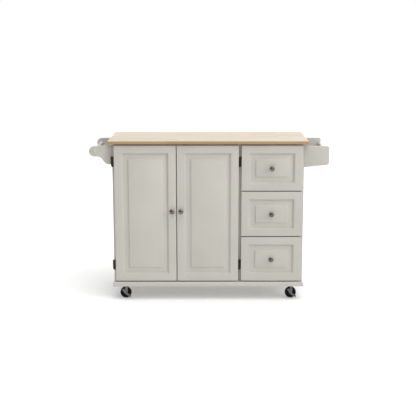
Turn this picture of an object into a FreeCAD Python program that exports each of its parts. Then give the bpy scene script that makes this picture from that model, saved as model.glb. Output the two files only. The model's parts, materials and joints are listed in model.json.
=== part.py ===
import FreeCAD, Part

import os
import re

import Sketcher
from FreeCAD import Rotation, Vector

# A kitchen island cart: a two-door cupboard beside three drawers under a wooden
# worktop, with a towel rail on the left, a spice rack on the right and four casters.
# Millimetres. X runs to the viewer's right, Y to the back, Z up. The cabinet itself is
# laid out from the middle of its front plane at floor level, and every sub-part is then
# moved by centre_x and centre_y, so that the origin is under the middle of the whole cart.

driving = {
    # cabinet
    "cart_height": 920, "cabinet_width": 1076, "cabinet_depth": 416, "side_thick": 16,
    "divider_thick": 24, "back_thick": 5, "back_inset": 4, "panel_round": 1,
    "rail_depth": 60, "rail_thick": 18,
    # worktop
    "top_thick": 18, "top_side_overhang": 22, "top_front_overhang": 33,
    "top_rear_overhang": 8, "top_corner_round": 5, "top_edge_round": 2.5,
    # base board
    "base_thick": 25, "base_side_overhang": 7, "base_front_overhang": 28,
    "base_corner_round": 6, "base_edge_round": 9,
    # door and drawer fronts
    "drawer_width": 341, "reveal": 10.5, "strip_width": 16, "door_gap": 4, "drawer_gap": 5,
    "gap_over_doors": 7, "gap_under_doors": 6, "front_thick": 20, "bumper_gap": 2,
    "front_round": 2.5, "frame_width": 42, "step_width": 5, "step_depth": 1.5,
    "lip_round": 4, "quirk_width": 6.5, "bevel_width": 30, "groove_depth": 7,
    "shoulder_depth": 1.2,
    # knobs and their screws
    "knob_radius": 14.5, "knob_length": 25.5, "knob_foot_radius": 7.5,
    "knob_neck_radius": 5, "knob_round": 1, "knob_to_edge": 23, "door_knob_height": 522,
    "screw_radius": 2, "screw_bite": 10, "screw_head_radius": 4, "screw_head_thick": 1.8,
    "hole_play": 0.2,
    # door hinges
    "hinge_height": 54, "hinge_from_end": 66, "hinge_to_edge": 7, "hinge_behind_face": 3,
    "knuckle_radius": 5, "pin_radius": 2, "pin_cap_radius": 3.5, "pin_cap_thick": 2,
    "leaf_thick": 1.5, "leaf_width": 14, "leaf_overhang": 3, "leaf_inset": 2,
    "knuckle_gap": 0.4, "running_play": 0.05,
    # magnetic catches
    "catch_width": 40, "catch_depth": 17, "catch_height": 13, "catch_to_gap": 10,
    "strike_thick": 1.2, "strike_inset": 3, "catch_play": 0.3,
    # shelf and its pins
    "shelf_thick": 16, "shelf_level": 500, "shelf_setback": 20, "shelf_rear_gap": 17,
    "shelf_play": 1, "peg_radius": 2.5, "peg_in": 8, "peg_out": 10, "peg_play": 0.1,
    "peg_setback": 60, "peg_pitch": 64,
    # drawers and their runners
    "box_wall": 12, "box_lift": 40, "box_headroom": 47, "box_rear_gap": 39,
    "bottom_thick": 5, "bottom_lift": 10, "groove_bite": 5,
    "runner_space": 12.5, "runner_ends": 10, "runner_height": 36, "runner_wall": 1.5,
    "runner_width": 9, "slide_width": 8.5, "slide_play": 0.5,
    # towel rail
    "bracket_thick": 16, "bracket_inset": 4, "bracket_reach": 130.5, "bracket_gap": 14,
    "bracket_drop": 104, "nose_height": 60, "bracket_waist": 67, "bracket_heel": 35,
    "waist_round": 25, "heel_round": 25, "bar_radius": 11, "bar_proud": 3, "bar_round": 2,
    # spice rack
    "rack_reach": 141, "rack_outer_drop": 106, "rack_inner_drop": 120, "rack_round": 12.5,
    "rack_shelf_thick": 12, "rack_shelf_drop": 96, "rack_shelf_margin": 5,
    "rack_rail_thick": 10, "rack_rail_height": 30, "rack_rail_drop": 32,
    # casters
    "caster_rise": 20, "caster_inset": 61, "caster_setback": 64, "trail": 14,
    "plate_size": 60, "plate_thick": 2.5, "plate_pitch": 44, "caster_screw_radius": 2,
    "caster_screw_head": 4.2, "caster_screw_cap": 1.6, "caster_screw_length": 16,
    "plate_hole_play": 0.6, "kingpin_radius": 5, "rivet_radius": 8, "rivet_thick": 2.2,
    "rivet_play": 0.3, "race_radius": 18, "race_height": 8.4, "race_round": 2,
    "race_play": 0.3,
    "crown_thick": 3, "crown_width": 32, "leg_thick": 2.5, "leg_end": 8.5,
    "leg_shoulder": 10, "wheel_radius": 32, "wheel_width": 22, "wheel_play": 1.5,
    "tyre_round": 5, "hub_radius": 9, "recess_radius": 20, "recess_depth": 3,
    "axle_radius": 4, "axle_cap_radius": 6.5, "axle_cap_thick": 2.5, "axle_play": 0.1,
    # brake levers of the two front casters
    "lever_thick": 2.5, "lever_play": 0.3, "lever_round": 2.5, "pedal_out": 10,
    "pedal_wide": 8, "pedal_high": 3.5,
}

derived = {
    "caster_height": "2*wheel_radius + caster_rise",
    "panel_base": "caster_height + base_thick",
    "panel_height": "cart_height - top_thick - panel_base",
    "front_height": "panel_height - gap_over_doors - gap_under_doors",
    "front_base": "panel_base + gap_under_doors",
    "door_width": "(cabinet_width - 2*reveal - strip_width - door_gap - drawer_width)/2",
    "drawer_height": "(front_height - 2*drawer_gap)/3",
    "side_face": "cabinet_width/2",
    "left_door_at": "reveal - side_face",
    "right_door_at": "left_door_at + door_width + door_gap",
    "drawers_at": "side_face - reveal - drawer_width",
    "divider_at": "drawers_at - (strip_width + divider_thick)/2",
    "bay_left": "side_thick - side_face",
    "drawer_bay_left": "divider_at + divider_thick",
    "drawer_bay_width": "side_face - side_thick - drawer_bay_left",
    "divider_depth": "cabinet_depth - back_inset - back_thick",
    "front_face": "bumper_gap + front_thick",
    "hinge_line": "hinge_behind_face - front_face",
    "left_hinge_at": "left_door_at - hinge_to_edge",
    "right_hinge_at": "right_door_at + door_width + hinge_to_edge",
    "knuckle_height": "hinge_height/3",
    "lower_hinge": "front_base + hinge_from_end",
    "upper_hinge": "front_base + front_height - hinge_from_end - hinge_height",
    "catch_level": "panel_base + panel_height - rail_thick - catch_height",
    "shelf_depth": "divider_depth - shelf_setback - shelf_rear_gap",
    "peg_level": "shelf_level - peg_radius",
    "box_height": "drawer_height - box_lift - box_headroom",
    "box_depth": "divider_depth + bumper_gap - box_rear_gap",
    "runner_length": "box_depth - 2*runner_ends",
    "runner_setback": "runner_ends - bumper_gap",
    "box_width": "drawer_bay_width - 2*runner_space",
    "box_at": "drawer_bay_left + runner_space",
    "slide_height": "runner_height - 2*runner_wall - 2*slide_play",
    "bracket_top": "cart_height - top_thick - bracket_gap",
    "rear_bracket_at": "cabinet_depth - bracket_inset - bracket_thick",
    "rack_span": "rear_bracket_at - bracket_inset - bracket_thick",
    "nose_radius": "nose_height/2",
    "bar_out": "bracket_reach - nose_radius",
    "caster_out": "side_face - caster_inset",
    "front_caster_at": "caster_setback - base_front_overhang",
    "rear_caster_at": "cabinet_depth - caster_setback",
    "plate_level": "caster_height - plate_thick",
    "crown_top": "plate_level - race_play - race_height",
    "fork_half": "wheel_width/2 + wheel_play + leg_thick",
    "knob_front": "front_face + knob_length",
    "centre_x": "(rack_reach - bracket_reach)/2",
    "centre_y": "(cabinet_depth + top_rear_overhang - knob_front)/2",
}

names_of_levels = ("bottom", "middle", "top")
row_count = 5

doc = FreeCAD.newDocument("kitchen_cart")
sheet = doc.addObject("Spreadsheet::Sheet", "sizes")
pieces = []


def fill_sheet():
    """Driving sizes as plain numbers, then the sizes worked out from them."""
    texts = {name: str(number) for name, number in driving.items()}
    texts.update({name: "=" + text for name, text in derived.items()})
    for row, (name, text) in enumerate(texts.items(), start=1):
        sheet.set(f"A{row}", name)
        sheet.set(f"B{row}", text)
        sheet.setAlias(f"B{row}", name)
    doc.recompute()


def linked(formula):
    """The formula with the sheet's name put before each of its aliases."""
    def with_sheet(word):
        text = word.group()
        return f"sizes.{text}" if text in driving or text in derived else text
    return re.sub(r"[a-z_]+", with_sheet, str(formula))


def value(formula):
    return float(sheet.evalExpression(linked(formula)))


def bind(thing, **formulas):
    for prop, formula in formulas.items():
        thing.setExpression(prop.replace("__", "."), linked(formula))


def shift(thing, x=0, y=0, z=0):
    bind(thing, Placement__Base__x=x, Placement__Base__y=y, Placement__Base__z=z)
    return thing


def keep(thing, label, x=0, y=0, z=0):
    """Name a finished sub-part and place it in the cart's own frame."""
    thing.Label = label
    shift(thing, f"{x} - (centre_x)", f"{y} - (centre_y)", z)
    pieces.append(thing)
    return thing


# ---- solids from primitives

def box(width, depth, height, x=0, y=0, z=0):
    solid = doc.addObject("Part::Box", "Board")
    bind(solid, Length=width, Width=depth, Height=height)
    return shift(solid, x, y, z)


def rod(radius, length, x=0, y=0, z=0, turn=None):
    solid = doc.addObject("Part::Cylinder", "Rod")
    if turn:
        solid.Placement.Rotation = turn
    bind(solid, Radius=radius, Height=length)
    return shift(solid, x, y, z)


along_x = Rotation(Vector(0, 1, 0), 90)
along_y = Rotation(Vector(1, 0, 0), -90)


def cut(base, tool):
    result = doc.addObject("Part::Cut", "Cut")
    result.Base = base
    result.Tool = tool
    return result


def fuse(solids):
    result = doc.addObject("Part::MultiFuse", "Fused")
    result.Shapes = solids
    return result


def group(solids):
    result = doc.addObject("Part::Compound", "Group")
    result.Links = solids
    return result


# ---- bodies from sketches

def new_body():
    return doc.addObject("PartDesign::Body", "Body")


def new_sketch(body, role, lift=0):
    sketch = body.newObject("Sketcher::SketchObject", "Sketch")
    plane = next(f for f in body.Origin.OriginFeatures if f.Role == role)
    sketch.AttachmentSupport = [(plane, "")]
    sketch.MapMode = "FlatFace"
    bind(sketch, AttachmentOffset__Base__z=lift)
    return sketch


def pin(sketch, edge, end, kind, formula):
    """Tie one coordinate of a sketch point to a formula."""
    number = value(formula)
    if number == 0:
        axis = -2 if kind == "DistanceX" else -1
        sketch.addConstraint(Sketcher.Constraint("PointOnObject", edge, end, axis))
        return
    index = sketch.addConstraint(Sketcher.Constraint(kind, -1, 1, edge, end, number))
    sketch.setExpression(f"Constraints[{index}]", linked(formula))


def outline(sketch, corners):
    points = [Vector(value(x), value(y), 0) for x, y in corners]
    count = len(points)
    first = sketch.GeometryCount
    for i in range(count):
        sketch.addGeometry(Part.LineSegment(points[i], points[(i + 1) % count]))
    for i in range(count):
        following = first + (i + 1) % count
        sketch.addConstraint(Sketcher.Constraint("Coincident", first + i, 2, following, 1))
    for i, (x, y) in enumerate(corners):
        pin(sketch, first + i, 1, "DistanceX", x)
        pin(sketch, first + i, 1, "DistanceY", y)
    return sketch


def rectangle(sketch, left, low, right, high):
    return outline(sketch, [(left, low), (right, low), (right, high), (left, high)])


def circle(sketch, x, y, radius):
    centre = Vector(value(x), value(y), 0)
    edge = sketch.addGeometry(Part.Circle(centre, Vector(0, 0, 1), value(radius)))
    pin(sketch, edge, 3, "DistanceX", x)
    pin(sketch, edge, 3, "DistanceY", y)
    index = sketch.addConstraint(Sketcher.Constraint("Radius", edge, value(radius)))
    sketch.setExpression(f"Constraints[{index}]", linked(radius))
    return sketch


def pad(body, sketch, length):
    feature = body.newObject("PartDesign::Pad", "Pad")
    feature.Profile = sketch
    bind(feature, Length=length)
    doc.recompute()
    return feature


def pocket(body, sketch, length, forwards=False):
    """Cut against the sketch's normal, or along it when forwards is set."""
    before = body.Shape.Volume
    feature = body.newObject("PartDesign::Pocket", "Pocket")
    feature.Profile = sketch
    feature.Reversed = forwards
    bind(feature, Length=length)
    doc.recompute()
    if not body.Shape.Volume < before - 1:
        raise RuntimeError("a pocket cut nothing")
    return feature


def loft(body, profile, section):
    feature = body.newObject("PartDesign::AdditiveLoft", "Loft")
    feature.Profile = profile
    feature.Sections = [section]
    feature.Ruled = True
    doc.recompute()
    return feature


def turned(body, sketch):
    """A full revolution about the sketch's upright axis."""
    feature = body.newObject("PartDesign::Revolution", "Revolution")
    feature.Profile = sketch
    feature.ReferenceAxis = (sketch, ["V_Axis"])
    feature.Angle = 360
    doc.recompute()
    return feature


def soften(body, radius, wanted):
    """Round the tip's edges for which wanted(edge) holds."""
    tip = body.Tip
    edges = [f"Edge{i}" for i, edge in enumerate(tip.Shape.Edges, start=1) if wanted(edge)]
    if not edges:
        raise RuntimeError("no edge to round")
    feature = body.newObject("PartDesign::Fillet", "Fillet")
    feature.Base = (tip, edges)
    bind(feature, Radius=radius)
    doc.recompute()
    return feature


def near(first, second):
    return abs(first - second) < 0.01


def flat_at(edge, axis, level):
    """Does the whole edge lie at this level of x, y or z?"""
    limits = edge.BoundBox
    low = getattr(limits, axis.upper() + "Min")
    high = getattr(limits, axis.upper() + "Max")
    return near(low, level) and near(high, level)


def upright_at(edge, first, first_level, second, second_level):
    """Does the edge run along the third axis through these two levels?"""
    return flat_at(edge, first, first_level) and flat_at(edge, second, second_level)


# ---- cabinet

def worktop():
    body = new_body()
    plan = rectangle(new_sketch(body, "XY_Plane"), 0, 0,
                     "cabinet_width + 2*top_side_overhang",
                     "cabinet_depth + top_front_overhang + top_rear_overhang")
    pad(body, plan, "top_thick")
    thick = value("top_thick")
    soften(body, "top_corner_round", lambda e: near(e.Length, thick))
    soften(body, "top_edge_round", lambda e: flat_at(e, "z", 0) or flat_at(e, "z", thick))
    keep(body, "worktop", "-side_face - top_side_overhang", "-top_front_overhang",
         "cart_height - top_thick")


def caster_spots():
    """Name, side and both centre formulas of each caster's wheel."""
    for end in ("front", "rear"):
        for side, sign in (("left", -1), ("right", 1)):
            yield f"{end}_{side}", end, f"{sign}*caster_out", f"{end}_caster_at"


def screw_offsets():
    return [(i, j) for i in (-0.5, 0.5) for j in (-0.5, 0.5)]


def base_board():
    body = new_body()
    plan = rectangle(new_sketch(body, "XY_Plane"), 0, 0,
                     "cabinet_width + 2*base_side_overhang",
                     "cabinet_depth + base_front_overhang")
    pad(body, plan, "base_thick")
    top = value("base_thick")
    width = value("cabinet_width + 2*base_side_overhang")
    soften(body, "base_corner_round", lambda e: near(e.Length, top) and flat_at(e, "y", 0))
    back = value("cabinet_depth + base_front_overhang")
    soften(body, "base_edge_round",
           lambda e: flat_at(e, "z", top) and not flat_at(e, "y", back))
    holes = new_sketch(body, "XY_Plane")
    for _, _, x, y in caster_spots():
        for i, j in screw_offsets():
            circle(holes, f"cabinet_width/2 + base_side_overhang + {x} + trail + {i}*plate_pitch",
                   f"{y} + base_front_overhang + {j}*plate_pitch", "caster_screw_radius")
    pocket(body, holes, "caster_screw_length", forwards=True)
    keep(body, "base_board", "-side_face - base_side_overhang", "-base_front_overhang",
         "caster_height")


def peg_holes(body, lift, forwards):
    """Two columns of shelf-pin holes in an upright board."""
    holes = new_sketch(body, "YZ_Plane", lift)
    for y in ("shelf_setback + peg_setback", "shelf_setback + shelf_depth - peg_setback"):
        for row in range(row_count):
            circle(holes, y, f"peg_level - panel_base + {row - row_count // 2}*peg_pitch",
                   "peg_radius + peg_play")
    pocket(body, holes, "peg_in", forwards)


def upright(label, thick, depth, x, drilled=None):
    body = new_body()
    face = rectangle(new_sketch(body, "YZ_Plane"), 0, 0, depth, "panel_height")
    pad(body, face, thick)
    soften(body, "panel_round",
           lambda e: near(e.Length, value("panel_height")) and flat_at(e, "y", 0))
    if drilled == "right face":
        peg_holes(body, thick, forwards=False)
    if drilled == "left face":
        peg_holes(body, 0, forwards=True)
    keep(body, label, x, 0, "panel_base")


def back_panel():
    keep(box("cabinet_width - 2*side_thick", "back_thick", "panel_height"),
         "back_panel", "bay_left", "divider_depth", "panel_base")


def top_rails():
    rails = []
    bays = (("bay_left", "divider_at - bay_left"), ("drawer_bay_left", "drawer_bay_width"))
    for x, width in bays:
        for y in ("0", "divider_depth - rail_depth"):
            rails.append(box(width, "rail_depth", "rail_thick", x, y))
    keep(group(rails), "top_rails", z="panel_base + panel_height - rail_thick")


def shelf():
    keep(box("divider_at - bay_left - 2*shelf_play", "shelf_depth", "shelf_thick"),
         "adjustable_shelf", "bay_left + shelf_play", "shelf_setback", "shelf_level")
    pegs = []
    for x in ("bay_left - peg_in", "divider_at - peg_out"):
        for y in ("peg_setback", "shelf_depth - peg_setback"):
            pegs.append(rod("peg_radius", "peg_in + peg_out", x, y, turn=along_x))
    keep(group(pegs), "shelf_pins", 0, "shelf_setback", "peg_level")


# ---- doors and drawer fronts

def front_loop(width, height, level, inset):
    """Picks the edges of the rectangle this far in from the panel's rim at this depth."""
    def wanted(edge):
        if not flat_at(edge, "y", -level):
            return False
        middle = edge.CenterOfMass
        rim = min(middle.x, width - middle.x, middle.z, height - middle.z)
        return near(rim, inset)
    return wanted


def inset_rectangle(body, lift, inset, width, height):
    return rectangle(new_sketch(body, "XZ_Plane", lift), inset, inset,
                     f"{width} - ({inset})", f"{height} - ({inset})")


def raised_panel(width, height, knob_x, knob_z):
    """A routed front: flat frame, stepped and rounded lip, groove, bevel, raised field."""
    body = new_body()
    pad(body, inset_rectangle(body, "0", "0", width, height), "front_thick")
    wide, high, thick = value(width), value(height), value("front_thick")
    soften(body, "front_round", front_loop(wide, high, thick, 0))
    pocket(body, inset_rectangle(body, "front_thick", "frame_width", width, height),
           "step_depth")
    lip = "frame_width + step_width"
    pocket(body, inset_rectangle(body, "front_thick", lip, width, height), "groove_depth")
    soften(body, "lip_round",
           front_loop(wide, high, thick - value("step_depth"), value(lip)))
    foot = f"{lip} + quirk_width"
    crest = f"{foot} + bevel_width"
    loft(body, inset_rectangle(body, "front_thick - groove_depth", foot, width, height),
         inset_rectangle(body, "front_thick - shoulder_depth", crest, width, height))
    pad(body, inset_rectangle(body, "front_thick - shoulder_depth", crest, width, height),
        "shoulder_depth")
    hole = circle(new_sketch(body, "XZ_Plane", "front_thick"), knob_x, knob_z,
                  "screw_radius + hole_play")
    pocket(body, hole, "front_thick")
    return body


def knob(label, x, z, grip):
    """A turned knob and the screw that holds it through a board of thickness grip."""
    body = new_body()
    section = [
        ("0", "-knob_length"), ("0", "-screw_bite"), ("screw_radius", "-screw_bite"),
        ("screw_radius", "0"), ("knob_foot_radius", "0"), ("knob_foot_radius", "-0.08*knob_length"),
        ("knob_neck_radius", "-0.16*knob_length"), ("knob_neck_radius", "-0.36*knob_length"),
        ("0.86*knob_radius", "-0.52*knob_length"), ("knob_radius", "-0.64*knob_length"),
        ("knob_radius", "-0.74*knob_length"), ("0.84*knob_radius", "-0.88*knob_length"),
        ("0.5*knob_radius", "-0.97*knob_length"),
    ]
    turned(body, outline(new_sketch(body, "XY_Plane"), section))
    rim = value("knob_radius")
    soften(body, "knob_round", lambda e: near(e.BoundBox.XMax, rim))
    shank = rod("screw_radius", f"screw_bite + {grip}", y="-screw_bite", turn=along_y)
    head = rod("screw_head_radius", "screw_head_thick", y=grip, turn=along_y)
    keep(group([body, fuse([shank, head])]), label, x, "-front_face", z)


# ---- hinges

def hinge_levels():
    return ("lower_hinge", "upper_hinge")


def frame_leaf(at, towards, level):
    """Leaf on the cabinet's edge with its two outer knuckles; towards is +1 to the door's side."""
    overhang = "(leaf_width - leaf_overhang)" if towards < 0 else "leaf_overhang"
    solids = [box("leaf_width", "leaf_thick", "hinge_height", f"{at} - {overhang}",
                  "-leaf_thick", level)]
    for third in (0, 2):
        low = f"{level} + {third}*knuckle_height"
        solids.append(box("leaf_thick", "-hinge_line - knuckle_radius/2", "knuckle_height",
                          f"{at} - leaf_thick/2", "hinge_line + knuckle_radius/2", low))
        solids.append(rod("knuckle_radius", "knuckle_height", at, "hinge_line", low))
    bore = rod("pin_radius", "hinge_height", at, "hinge_line", level)
    return cut(fuse(solids), bore)


def door_leaf(at, towards, level):
    """Leaf on the door's edge with the middle knuckle."""
    edge = f"{at} + hinge_to_edge - leaf_thick" if towards > 0 else f"{at} - hinge_to_edge"
    strap = at if towards > 0 else f"{at} - hinge_to_edge"
    low = f"{level} + knuckle_height + knuckle_gap"
    tall = "knuckle_height - 2*knuckle_gap"
    plate = box("leaf_thick", "front_thick - 2*leaf_inset", "hinge_height", edge,
                "leaf_inset - front_face", level)
    bridge = box("hinge_to_edge", "leaf_thick", tall, strap, "hinge_line - leaf_thick/2", low)
    knuckle = rod("knuckle_radius", tall, at, "hinge_line", low)
    bore = rod("pin_radius + running_play", tall, at, "hinge_line", low)
    return cut(fuse([plate, bridge, knuckle]), bore)


def hinge_pin(at, level):
    shaft = rod("pin_radius", "hinge_height", at, "hinge_line", level)
    foot = rod("pin_cap_radius", "pin_cap_thick", at, "hinge_line",
               f"{level} - pin_cap_thick")
    cap = rod("pin_cap_radius", "pin_cap_thick", at, "hinge_line", f"{level} + hinge_height")
    return fuse([shaft, foot, cap])


def hinges():
    sides = (("left", 1), ("right", -1))
    keep(group([frame_leaf(f"{side}_hinge_at", towards, level)
                for side, towards in sides for level in hinge_levels()]),
         "hinge_frame_leaves")
    keep(group([hinge_pin(f"{side}_hinge_at", level)
                for side, _ in sides for level in hinge_levels()]), "hinge_pins")
    for side, towards in sides:
        keep(group([door_leaf(f"{side}_hinge_at", towards, level)
                    for level in hinge_levels()]), f"{side}_door_hinge_leaves")


# ---- doors, catches, drawers

def doors():
    catch_middles = {}
    for side, sign in (("left", -1), ("right", 1)):
        at = f"{side}_door_at"
        knob_x = "door_width - knob_to_edge" if side == "left" else "knob_to_edge"
        panel = raised_panel("door_width", "front_height", knob_x,
                             "door_knob_height - front_base")
        keep(panel, f"{side}_door_panel", at, "-bumper_gap", "front_base")
        knob(f"{side}_door_knob", f"{at} + {knob_x}", "door_knob_height", "front_thick")
        catch_middles[side] = (f"right_door_at - door_gap/2"
                               f" + {sign}*(catch_to_gap + catch_width/2)")
        keep(box("catch_width - 2*strike_inset", "strike_thick", "catch_height"),
             f"{side}_door_strike", f"{catch_middles[side]} - catch_width/2 + strike_inset",
             "-bumper_gap", "catch_level")
    face = "strike_thick + catch_play - bumper_gap"
    keep(group([box("catch_width", "catch_depth", "catch_height", f"{middle} - catch_width/2")
                for middle in catch_middles.values()]),
         "magnetic_catches", 0, face, "catch_level")


def channel(width, height, opens):
    """A steel channel along Y with its open side to the left or the right."""
    hollow_at = "runner_wall" if opens == "right" else "0"
    outer = box(width, "runner_length", height)
    hollow = box(f"{width} - runner_wall", "runner_length", f"{height} - 2*runner_wall",
                 hollow_at, 0, "runner_wall")
    return cut(outer, hollow)


def drawer_base(level):
    return f"front_base + {level}*(drawer_height + drawer_gap)"


def runner_base(level):
    return f"{drawer_base(level)} + box_lift + (box_height - runner_height)/2"


def drawer_runners():
    fixed = []
    for level in range(3):
        right_wall = "drawer_bay_left + drawer_bay_width - runner_width"
        for x, opens in (("drawer_bay_left", "right"), (right_wall, "left")):
            member = channel("runner_width", "runner_height", opens)
            fixed.append(shift(member, x, "runner_setback", runner_base(level)))
    keep(group(fixed), "cabinet_runners")


def drawer(level):
    name = names_of_levels[level]
    base = drawer_base(level)
    front = raised_panel("drawer_width", "drawer_height", "drawer_width/2",
                         "drawer_height/2")
    keep(front, f"{name}_drawer_front", "drawers_at", "-bumper_gap", base)
    knob(f"{name}_drawer_knob", "drawers_at + drawer_width/2",
         f"{base} + drawer_height/2", "front_thick + box_wall")

    wall_gap = "box_width - 2*box_wall"
    walls = group([
        box("box_wall", "box_depth", "box_height"),
        box("box_wall", "box_depth", "box_height", "box_width - box_wall"),
        box(wall_gap, "box_wall", "box_height", "box_wall"),
        box(wall_gap, "box_wall", "box_height", "box_wall", "box_depth - box_wall"),
    ])
    inside = "box_wall - groove_bite"
    sheet_size = (f"box_width - 2*({inside})", f"box_depth - 2*({inside})", "bottom_thick")
    grooved = cut(walls, box(*sheet_size, inside, inside, "bottom_lift"))
    screw_x = "drawers_at + drawer_width/2 - box_at"
    screw_hole = rod("screw_radius + hole_play", "box_wall", screw_x, 0,
                     "drawer_height/2 - box_lift", along_y)
    box_base = f"{base} + box_lift"
    keep(cut(grooved, screw_hole), f"{name}_drawer_box", "box_at", "-bumper_gap", box_base)
    keep(box(*sheet_size), f"{name}_drawer_bottom", f"box_at + {inside}",
         f"{inside} - bumper_gap", f"{box_base} + bottom_lift")

    left = shift(channel("slide_width", "slide_height", "left"), "box_at - slide_width")
    right = shift(channel("slide_width", "slide_height", "right"), "box_at + box_width")
    keep(group([left, right]), f"{name}_drawer_slides", 0, "runner_setback",
         f"{runner_base(level)} + runner_wall + slide_play")


# ---- towel rail and spice rack

def end_places():
    return (("front", "bracket_inset"), ("rear", "rear_bracket_at"))


def towel_bracket(end, y):
    """Scrolled bracket; its sketch runs left from the cabinet and up from the heel."""
    body = new_body()
    nose_foot = "bracket_drop - nose_height"
    profile = [("0", "0"), ("0", "bracket_drop"), ("-bracket_reach", "bracket_drop"),
               ("-bracket_reach", nose_foot), ("-bracket_waist", nose_foot),
               ("-bracket_heel", "0")]
    pad(body, outline(new_sketch(body, "XZ_Plane"), profile), "bracket_thick")
    reach, foot = value("bracket_reach"), value(nose_foot)
    soften(body, "nose_radius - 0.05",
           lambda e: upright_at(e, "x", -reach, "z", foot)
           or upright_at(e, "x", -reach, "z", value("bracket_drop")))
    soften(body, "waist_round",
           lambda e: upright_at(e, "x", -value("bracket_waist"), "z", foot))
    soften(body, "heel_round",
           lambda e: upright_at(e, "x", -value("bracket_heel"), "z", 0))
    hole = circle(new_sketch(body, "XZ_Plane", "bracket_thick"), "-bar_out",
                  "bracket_drop - nose_radius", "bar_radius")
    pocket(body, hole, "bracket_thick")
    keep(body, f"towel_bracket_{end}", "-side_face", f"{y} + bracket_thick",
         "bracket_top - bracket_drop")


def towel_bar():
    body = new_body()
    length = "rear_bracket_at + bracket_thick - bracket_inset + 2*bar_proud"
    pad(body, circle(new_sketch(body, "XZ_Plane"), 0, 0, "bar_radius"), length)
    soften(body, "bar_round", lambda e: near(e.BoundBox.YLength, 0))
    keep(body, "towel_bar", "-side_face - bar_out",
         "rear_bracket_at + bracket_thick + bar_proud", "bracket_top - nose_radius")


def rack_end(end, y):
    """End board of the spice rack; its sketch runs right from the cabinet."""
    body = new_body()
    rise = "rack_inner_drop - rack_outer_drop"
    profile = [("0", "0"), ("rack_reach", rise), ("rack_reach", "rack_inner_drop"),
               ("0", "rack_inner_drop")]
    pad(body, outline(new_sketch(body, "XZ_Plane"), profile), "bracket_thick")
    reach = value("rack_reach")
    soften(body, "rack_round",
           lambda e: near(e.BoundBox.XMin, reach) and near(e.Length, value("bracket_thick")))
    keep(body, f"rack_end_{end}", "side_face", f"{y} + bracket_thick",
         "bracket_top - rack_inner_drop")


def spice_rack():
    for end, y in end_places():
        rack_end(end, y)
    inner_y = "bracket_inset + bracket_thick"
    keep(box("rack_reach - rack_shelf_margin", "rack_span", "rack_shelf_thick"),
         "rack_shelf", "side_face", inner_y, "bracket_top - rack_shelf_drop")
    keep(box("rack_rail_thick", "rack_span", "rack_rail_height"), "rack_rail",
         "side_face + rack_reach - rack_shelf_margin - rack_rail_thick", inner_y,
         "bracket_top - rack_rail_drop - rack_rail_height")


# ---- casters

def caster_plate():
    """Mounting plate with its kingpin; its origin is on the kingpin's axis at floor level."""
    half = "plate_size/2"
    plate = box("plate_size", "plate_size", "plate_thick", f"-({half})", f"-({half})",
                "plate_level")
    holes = group([rod("caster_screw_radius + plate_hole_play", "plate_thick",
                       f"{i}*plate_pitch", f"{j}*plate_pitch", "plate_level")
                   for i, j in screw_offsets()])
    rivet_top = "crown_top - crown_thick - rivet_play"
    kingpin = rod("kingpin_radius", f"plate_level - ({rivet_top})", z=rivet_top)
    rivet = rod("rivet_radius", "rivet_thick", z=f"{rivet_top} - rivet_thick")
    return fuse([cut(plate, holes), kingpin, rivet])


def caster_screw(i, j):
    at = (f"{i}*plate_pitch", f"{j}*plate_pitch")
    shank = rod("caster_screw_radius", "caster_screw_length + plate_thick", *at,
                "plate_level")
    head = rod("caster_screw_head", "caster_screw_cap", *at,
               "plate_level - caster_screw_cap")
    return fuse([shank, head])


def caster_fixings():
    plates = []
    screws = []
    for _, _, x, y in caster_spots():
        plates.append(shift(caster_plate(), f"{x} + trail", y))
        screws += [shift(caster_screw(i, j), f"{x} + trail", y) for i, j in screw_offsets()]
    keep(group(plates), "caster_plates")
    keep(group(screws), "caster_screws")


def caster_fork():
    """Pressed fork: a leg each side of the wheel under a flat crown and a swivel race."""
    body = new_body()
    half = "crown_width/2"
    profile = [
        (f"-({half})", "crown_top"), (f"-({half})", "crown_top - leg_shoulder"),
        ("-trail - leg_end", "wheel_radius"), ("-trail - leg_end", "wheel_radius - leg_end"),
        ("-trail + leg_end", "wheel_radius - leg_end"),
        (half, "crown_top - leg_shoulder"), (half, "crown_top"),
    ]
    pad(body, outline(new_sketch(body, "XZ_Plane", "-fork_half"), profile), "2*fork_half")
    low = value("wheel_radius - leg_end")
    soften(body, "leg_end - 0.5", lambda e: flat_at(e, "z", low) and e.BoundBox.YLength > 1)
    inner = "fork_half - leg_thick"
    slot = rectangle(new_sketch(body, "YZ_Plane", "-wheel_radius - trail"), f"-({inner})",
                     "-wheel_radius", inner, "crown_top - crown_thick")
    pocket(body, slot, "4*wheel_radius", forwards=True)
    pad(body, circle(new_sketch(body, "XY_Plane", "crown_top"), 0, 0, "race_radius"),
        "race_height")
    soften(body, "race_round", lambda e: flat_at(e, "z", value("crown_top + race_height")))
    bore = circle(new_sketch(body, "XY_Plane", "crown_top + race_height"), 0, 0,
                  "kingpin_radius + running_play")
    pocket(body, bore, "race_height + crown_thick")
    axle_hole = circle(new_sketch(body, "XZ_Plane", "fork_half"), "-trail", "wheel_radius",
                       "axle_radius")
    pocket(body, axle_hole, "2*fork_half")
    return body


def caster_wheel():
    """Moulded wheel about its own axle, with a ring-shaped recess in each side."""
    body = new_body()
    pad(body, circle(new_sketch(body, "XZ_Plane", "-wheel_width/2"), 0, 0, "wheel_radius"),
        "wheel_width")
    soften(body, "tyre_round", lambda e: near(e.BoundBox.YLength, 0))
    for lift, forwards in (("wheel_width/2", False), ("-wheel_width/2", True)):
        ring = new_sketch(body, "XZ_Plane", lift)
        circle(ring, 0, 0, "recess_radius")
        circle(ring, 0, 0, "hub_radius")
        pocket(body, ring, "recess_depth", forwards)
    bore = circle(new_sketch(body, "XZ_Plane", "wheel_width/2"), 0, 0,
                  "axle_radius + axle_play")
    pocket(body, bore, "wheel_width")
    return body


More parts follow.
